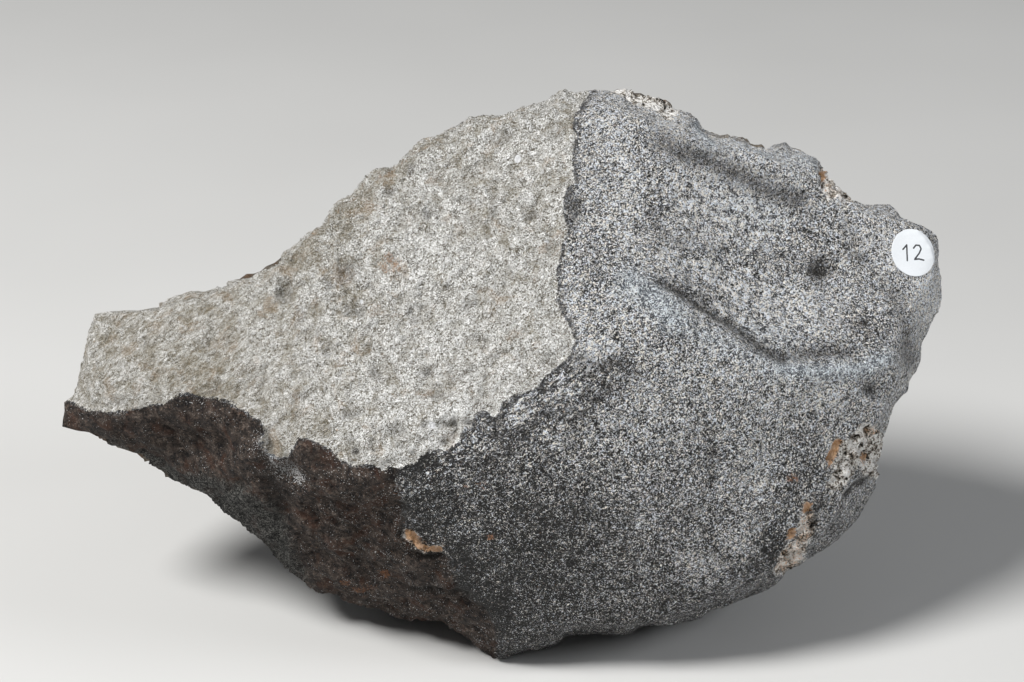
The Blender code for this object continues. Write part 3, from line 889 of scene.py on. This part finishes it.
class Paint:
    """A material and its shader nodes."""

    def __init__(self, name):
        self.material = bpy.data.materials.new(name)
        self.material.use_nodes = True
        self.tree = self.material.node_tree
        self.shader = self.tree.nodes["Principled BSDF"]

    def feed(self, socket, value):
        """Links a node's output to a socket, or sets the socket to a number or a colour."""
        if isinstance(value, Value):
            self.tree.links.new(value.socket, socket)
        elif socket.type == "RGBA":
            socket.default_value = (*value, 1.0)
        else:
            socket.default_value = value

    def finish(self, name, value):
        """Sets one of the finish's own inputs."""
        self.feed(self.shader.inputs[name], value)

    def node(self, kind, settings, inputs, output=0):
        """Adds a node: its settings, then its inputs by name or place, and gives one output."""
        made = self.tree.nodes.new("ShaderNode" + kind)
        for name, setting in settings.items():
            if name == "stops":
                self.set_stops(made.color_ramp, setting)
            else:
                setattr(made, name, setting)
        sockets = [socket for socket in made.inputs if socket.enabled]
        names = [socket.name for socket in sockets]
        for key, value in inputs.items():
            place = key if isinstance(key, int) else names.index(key)
            self.feed(sockets[place], value)
        outputs = [socket for socket in made.outputs if socket.enabled]
        if isinstance(output, str):
            output = [socket.name for socket in outputs].index(output)
        return Value(self, outputs[output])

    def set_stops(self, ramp, stops):
        while len(ramp.elements) < len(stops):
            ramp.elements.new(1.0)
        for element, (place, colour) in zip(ramp.elements, stops):
            element.position = place
            element.color = (*colour, 1.0)

    def math(self, operation, first, second):
        return self.node("Math", {"operation": operation}, {0: first, 1: second})

    def size(self, value):
        return self.node("Math", {"operation": "ABSOLUTE"}, {0: value})

    def step(self, value, low, high):
        """0 under low, 1 over high, and a soft rise between."""
        return self.node(
            "MapRange",
            {"interpolation_type": "SMOOTHSTEP"},
            {"Value": value, "From Min": low, "From Max": high},
        )

    def blend(self, share, first, second, how="MIX"):
        """The first colour, with a share of the second."""
        return self.node(
            "Mix", {"data_type": "RGBA", "blend_type": how}, {"Factor": share, "A": first, "B": second}
        )

    def place(self):
        """Object coordinates in millimetres."""
        metres = self.node("TexCoord", {}, {}, "Object")
        return self.node("VectorMath", {"operation": "SCALE"}, {"Vector": metres, "Scale": 1.0 / MM})

    def cloud(self, place, scale, detail, roughness=0.6, twist=0.0):
        """A soft random pattern about 0.5, with so many lumps in a unit of the place."""
        return self.node(
            "TexNoise",
            {},
            {"Vector": place, "Scale": scale, "Detail": detail, "Roughness": roughness, "Distortion": twist},
        )

    def drawn_out(self, place, heading, stretch):
        """Places squeezed along a direction of the face axes, so that patterns on them come out long."""
        heading = tuple(TURN @ np.array(heading))
        along = self.node("VectorMath", {"operation": "DOT_PRODUCT"}, {0: place, 1: heading}, "Value")
        shift = self.node(
            "VectorMath", {"operation": "SCALE"}, {"Vector": heading, "Scale": along * (1.0 - 1.0 / stretch)}
        )
        return self.node("VectorMath", {"operation": "SUBTRACT"}, {0: place, 1: shift})

    def kept(self, name):
        return self.node("Attribute", {"attribute_name": name}, {}, "Fac")

    def ramp(self, value, stops):
        return self.node("ValToRGB", {"stops": stops}, {"Fac": value}, "Color")

    def roughen(self, relief, strength, millimetres):
        """Gives the surface fine relief, by shading alone."""
        settings = {"Strength": strength, "Distance": millimetres * MM, "Height": relief}
        self.finish("Normal", self.node("Bump", {}, settings, "Normal"))


# Patterns of the stone: lumps in a millimetre, detail, roughness and twist.
PATTERNS = {
    "curl": (3.4, 1.0, 0.6, 1.0),
    "finer": (5.0, 0.0),
    "worm": (1.6, 2.0, 0.6, 1.4),
    "middle": (0.7, 2.0, 0.6),
    "stain": (0.33, 4.0, 0.7),
    "spread": (0.27, 3.0, 0.6, 0.5),
    "thread": (1.9, 1.0, 0.5, 1.2),
    "hue": (2.0, 2.0, 0.6, 0.3),
    "jag": (1.2, 3.0, 0.7),
}
LONG_PATTERNS = {"streak": (2.0, 3.0, 0.7), "wave": (1.9, 1.0, 0.6, 1.0), "fold": (1.0, 3.0, 0.7, 0.8)}

# How ragged and how soft the borders between the surfaces are.
BORDERS = {"brown": (1.6, 0.5), "grey": (3.0, 1.2), "back": (2.0, 0.8), "chip": (1.4, 0.15)}

# Colours of the finishes from dark to light, each with its place along the pattern.
INSIDE = (
    (0.40, (0.11, 0.10, 0.075)),
    (0.455, (0.36, 0.35, 0.32)),
    (0.50, (0.56, 0.555, 0.525)),
    (0.545, (0.78, 0.78, 0.76)),
    (0.60, (1.0, 1.0, 0.995)),
)
# The crust's light specks are partly its own grains and partly painted glints.
SPECKLED = (
    (0.41, (0.006, 0.006, 0.0055)),
    (0.455, (0.036, 0.035, 0.033)),
    (0.50, (0.155, 0.155, 0.153)),
    (0.535, (0.48, 0.48, 0.48)),
    (0.57, (1.0, 1.0, 1.0)),
)
TINTS = ((0.38, (0.84, 0.89, 0.97)), (0.5, (0.92, 0.925, 0.93)), (0.62, (0.97, 0.92, 0.84)))
DULL_BROWN = (
    (0.40, (0.006, 0.004, 0.004)),
    (0.50, (0.037, 0.028, 0.023)),
    (0.57, (0.088, 0.067, 0.055)),
    (0.64, (0.17, 0.14, 0.118)),
)
OLD_BREAK = ((0.34, (0.045, 0.036, 0.028)), (0.5, (0.17, 0.145, 0.115)), (0.66, (0.34, 0.31, 0.265)))
CHIPPED = (
    (0.37, (0.016, 0.014, 0.011)),
    (0.44, (0.20, 0.165, 0.13)),
    (0.50, (0.60, 0.555, 0.485)),
    (0.56, (1.0, 0.985, 0.96)),
)

# Colours of the marks on them.
CRACK = (0.10, 0.083, 0.055)
# Dirt and painted shade in the pale face's hollows.
DIRT_AND_SHADE = (0.16, 0.135, 0.085)
OLIVE = (0.20, 0.165, 0.095)
TAN = (0.34, 0.235, 0.14)
LEFT_DUST = (0.22, 0.19, 0.145)
INSIDE_RUST = (0.38, 0.21, 0.10)
WHITE_GRAIN = (0.85, 0.86, 0.88)
VEIN = (0.012, 0.011, 0.011)
FOLD_LINE = (0.010, 0.009, 0.009)
# Painted sheen of the crests: a bluish highlight in the colour.
SHEEN_DARK = (0.12, 0.135, 0.16)
SHEEN_LIGHT = (0.88, 0.95, 1.0)
CRUST_RUST = (0.33, 0.15, 0.07)
BROWN_STAIN = (0.065, 0.026, 0.013)
# Painted glints of the brown face.
GLINT = (0.62, 0.62, 0.62)
BROWN_RUST = (0.22, 0.090, 0.035)
GREY_DARK = (0.008, 0.008, 0.0075)
GREY_LIGHT = (0.16, 0.157, 0.145)
GREY_STAIN = (0.040, 0.026, 0.020)
OLD_STAIN = (0.16, 0.075, 0.033)
CHIP_RUST = (0.62, 0.34, 0.16)
LIP = (0.014, 0.013, 0.013)
# Painted shade in the grooves and pits.
HOLLOW_SHADE = (0.016, 0.014, 0.012)


class StoneMarks:
    """The patterns and kept values that the stone's finishes are mixed from."""

    def __init__(self, paint):
        place = paint.place()
        heading = (math.cos(STREAK_TURN), math.sin(STREAK_TURN), 0.0)
        long_place = paint.drawn_out(place, heading, STREAK_STRETCH)
        for name, pattern in PATTERNS.items():
            setattr(self, name, paint.cloud(place, *pattern))
        for name, pattern in LONG_PATTERNS.items():
            setattr(self, name, paint.cloud(long_place, *pattern))
        self.thread = 1.0 - paint.step(paint.size(self.thread - 0.5), 0.0, 0.09)
        self.line = 1.0 - paint.step(paint.size(self.wave - 0.5), 0.01, 0.05)
        self.rusty = paint.step(self.spread, 0.5, 0.68)

        jag = (self.jag - 0.5) * 1.4 + (self.curl - 0.5) * 0.8
        self.edge = paint.kept("pale") + jag
        self.pale = paint.step(self.edge, -0.08, 0.08)
        for name, (ragged, softness) in BORDERS.items():
            setattr(self, name, paint.step(paint.kept(name) + jag * ragged, -softness, softness))
        rust = paint.kept("rust") + (self.worm - 0.5) * 1.5 + (self.curl - 0.5)
        self.rust = paint.step(rust, 0.25, 0.75)
        self.grain = paint.step(paint.kept("grain") * (self.worm + 0.6), 0.1, 0.35)
        self.dirt = paint.kept("dirt") * paint.step(self.curl, 0.35, 0.55)
        self.soot = paint.kept("soot") * paint.step(self.curl, 0.20, 0.56)
        # shade holds patches that are partly the stone's own tone and partly painted light and shade.
        for name in ("gloss", "shade", "wrinkle"):
            setattr(self, name, paint.kept(name))
        right = paint.kept("right")
        self.left = paint.step(0.0 - right, 18.0, 48.0)

        # Painted shade: the crust's colour darkens lower down, towards the left and in the darker patches.
        height = paint.kept("rise") + right * 0.2 + self.shade * 22.0 + (self.stain - 0.5) * 20.0
        unlit = 1.0 - paint.step(height, -70.0, 30.0)
        dish = paint.kept("dish")
        fleck = self.curl * 0.35 + self.finer * 0.3 + self.streak * 0.2 + self.thread * 0.14 + 0.012
        fleck = fleck + (self.worm - 0.5) * (0.05 + dish * 0.4) + (self.middle - 0.5) * (0.15 + dish * 0.2)
        self.fleck = fleck + (self.stain - 0.5) * 0.12 + (self.fold - 0.5) * self.wrinkle * 0.3
        self.tone = self.fleck + self.shade * 0.035 + 0.057 - unlit * (unlit * 0.03 + 0.116)


def inside_colour(paint, on):
    """Pale grains with thin dark lines between them, stained olive and brown."""
    grain = on.curl * 0.4 + on.finer * 0.3 + on.worm * 0.15 + on.thread * 0.14 + 0.055
    grain = 0.5 + (grain - 0.5) * (1.0 - on.left * 0.5)
    grit = grain + (on.middle - 0.5) * 0.18 + (on.streak - 0.5) * on.left * 0.42 + on.shade * 0.03
    crack = on.line * paint.step(on.worm + on.shade * 0.1, 0.42, 0.54)
    olive = paint.step(on.stain - on.shade * 0.10 + on.left * 0.03, 0.50, 0.66)
    tan = paint.step(on.spread - on.shade * 0.05 + on.left * 0.03, 0.55, 0.72)
    colour = paint.blend(crack * (0.9 - on.left * 0.4), paint.ramp(grit, INSIDE), CRACK)
    # Hollows get dirt and painted shade.
    colour = paint.blend(on.dirt * 0.45, colour, DIRT_AND_SHADE)
    colour = paint.blend(olive * (on.curl * 0.8), colour, OLIVE)
    colour = paint.blend(tan * 0.35, colour, TAN)
    colour = paint.blend(on.left * 0.25, colour, LEFT_DUST)
    colour = paint.blend(on.rust * 0.7, colour, INSIDE_RUST)
    return paint.blend(on.grain, colour, WHITE_GRAIN)


def crust_colour(paint, on):
    """A dark skin closely covered in light specks, partly its own grains and partly painted glints, with
    painted shade lower down.
    """
    veins = on.line * paint.step(on.stain, 0.44, 0.60)
    folds = (1.0 - paint.step(paint.size(on.fold - 0.5), 0.01, 0.06)) * on.wrinkle
    colour = paint.blend(1.0, paint.ramp(on.tone, SPECKLED), paint.ramp(on.hue, TINTS), "MULTIPLY")
    colour = paint.blend(veins * 0.75, colour, VEIN)
    colour = paint.blend(folds * 0.9, colour, FOLD_LINE)
    # The crests get a painted bluish sheen, a highlight in the colour, besides their lower roughness.
    painted_sheen = paint.blend(paint.step(on.fleck, 0.44, 0.54), SHEEN_DARK, SHEEN_LIGHT)
    colour = paint.blend(on.gloss * 0.85, colour, painted_sheen)
    return paint.blend(on.rust, colour, CRUST_RUST)


def brown_colour(paint, on):
    """Dull dark brown with painted glints and rusty patches."""
    tone = on.curl * 0.2 + on.worm * 0.4 + on.middle * 0.4 + on.shade * 0.03
    glint = on.finer + (on.stain - 0.5) * 0.5 + on.gloss * 0.28 - on.left * 0.04
    colour = paint.blend(on.rusty * 0.6, paint.ramp(tone, DULL_BROWN), BROWN_STAIN)
    colour = paint.blend(paint.step(glint, 0.73, 0.80) * 0.8, colour, GLINT)
    return paint.blend(on.rust, colour, BROWN_RUST)


def grey_colour(paint, on):
    """The thin grey skin along the lower left rim."""
    tone = paint.step(on.fleck + (on.worm - 0.5) * 0.4, 0.44, 0.62)
    return paint.blend(on.rusty * 0.5, paint.blend(tone, GREY_DARK, GREY_LIGHT), GREY_STAIN)


def old_colour(paint, on):
    """The hidden back: an older break, dulled and stained."""
    return paint.blend(on.rusty * 0.6, paint.ramp(on.curl * 0.5 + on.middle * 0.5, OLD_BREAK), OLD_STAIN)


def chip_colour(paint, on):
    """Fresh rough stone with dark pits and orange rust."""
    tone = on.curl * 0.35 + on.worm * 0.8 + on.middle * 0.8 - 0.46
    return paint.blend(on.rust * 0.85, paint.ramp(tone, CHIPPED), CHIP_RUST)


def stone_material():
    """Pale broken inside, speckled crust, brown weathered face, older back, chips and painted shade in
    hollows.
    """
    paint = Paint("meteorite_surface")
    on = StoneMarks(paint)
    colour = paint.blend(on.brown, crust_colour(paint, on), brown_colour(paint, on))
    colour = paint.blend(on.brown * on.grey, colour, grey_colour(paint, on))
    colour = paint.blend(on.back, colour, old_colour(paint, on))
    colour = paint.blend(on.chip, colour, chip_colour(paint, on))
    lip = paint.step(on.edge + (on.worm - 0.5) * 4.0 + (on.middle - 0.5) * 3.0, -0.9, -0.3)
    colour = paint.blend(lip * (1.0 - on.brown) * 0.75, colour, LIP)
    colour = paint.blend(on.pale, colour, inside_colour(paint, on))
    # Grooves and pits are painted dark, as shade.
    colour = paint.blend(on.soot, colour, HOLLOW_SHADE)
    paint.finish("Base Color", colour)

    dull = paint.step(on.pale + on.chip + on.back, 0.0, 1.0)
    metal = paint.step(on.tone, 0.45, 0.56) * 0.3 * (1.0 - dull) * (1.0 - on.brown)
    paint.finish("Metallic", metal)
    matt = 0.48 + dull * 0.42 + on.brown * 0.25 + on.curl * 0.1 - on.gloss * 0.15
    paint.finish("Roughness", matt)
    paint.finish("Specular IOR Level", 0.3)

    relief = on.curl * 0.5 * (1.0 - on.brown * 0.6) + on.thread * 0.12 + on.worm * 0.5 + on.middle * 0.8
    paint.roughen(relief, 1.0, 0.8)
    return paint.material


PAPER_WHITE = ((0.3, (0.76, 0.79, 0.82)), (0.7, (0.80, 0.83, 0.86)))
INK = (0.03, 0.03, 0.035)
FLOOR_TONES = ((0.3, (0.60, 0.60, 0.59)), (0.7, (0.63, 0.63, 0.62)))
FLOOR_ROUGHNESS = 0.7


def paper_material():
    paint = Paint("label_paper")
    fibre = paint.cloud(paint.place(), 3.0, 4.0, 0.6)
    ink = paint.step(paint.kept("ink") + (fibre - 0.5) * 0.1, 0.0, 0.07)
    paint.finish("Base Color", paint.blend(ink, paint.ramp(fibre, PAPER_WHITE), INK))
    paint.finish("Roughness", 0.55 + fibre * 0.2)
    paint.roughen(fibre, 0.25, 0.05)
    return paint.material


def floor_material():
    paint = Paint("pale_floor")
    tone = paint.cloud(paint.place(), 0.01, 2.0, 0.5)
    paint.finish("Base Color", paint.ramp(tone, FLOOR_TONES))
    paint.finish("Roughness", FLOOR_ROUGHNESS)
    return paint.material


# Floor, lights and camera: sizes and distances in metres, power in watts, directions in face axes.
FLOOR_RADIUS = 4.0
FLOOR_SIDES = 96
AIM = Vector((0.0, 0.0, 0.045))
SKY_COLOUR = (0.80, 0.81, 0.83, 1.0)
SKY_STRENGTH = 0.16
LIGHTS = (
    ("key", (-0.5, 0.6, 0.65), 0.9, 0.3, 10.8, (1.0, 0.99, 0.975)),
    ("fill", (0.85, 0.35, 0.45), 1.1, 0.4, 4.0, (0.95, 0.97, 1.0)),
)


def make_floor():
    mesh = bmesh.new()
    bmesh.ops.create_circle(mesh, cap_ends=True, segments=FLOOR_SIDES, radius=FLOOR_RADIUS)
    floor = add_object("floor", finished(mesh, "floor"))
    floor.data.materials.append(floor_material())


def make_light(name, direction, distance, size, watts, colour):
    light = bpy.data.lights.new(name, "AREA")
    light.shape = "DISK"
    light.size = size
    light.energy = watts
    light.color = colour
    lamp = add_object(name, light)
    towards = Vector(TURN @ np.array(direction)).normalized()
    lamp.location = AIM + towards * distance
    lamp.rotation_euler = (-towards).to_track_quat("-Z", "Y").to_euler()


def make_surroundings():
    world = bpy.data.worlds.new("studio")
    world.use_nodes = True
    background = world.node_tree.nodes["Background"]
    background.inputs["Color"].default_value = SKY_COLOUR
    background.inputs["Strength"].default_value = SKY_STRENGTH
    bpy.context.scene.world = world
    bpy.context.scene.view_settings.view_transform = "Standard"
    for light in LIGHTS:
        make_light(*light)


def make_camera():
    lens = bpy.data.cameras.new("camera")
    lens.lens = LENS_MM
    lens.sensor_width = SENSOR_MM
    camera = add_object("camera", lens)
    camera.location = to_world(EYE)
    camera.rotation_euler = (math.pi / 2.0 - LEAN, 0.0, 0.0)
    bpy.context.scene.camera = camera


make_camera()
make_surroundings()
make_floor()

stone = make_stone()
stone.data.materials.append(stone_material())
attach(stone, "root")
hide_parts("meteorite")

paper = make_paper(stone)
paper.data.materials.append(paper_material())
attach(paper, "root")
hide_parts("paper_label")
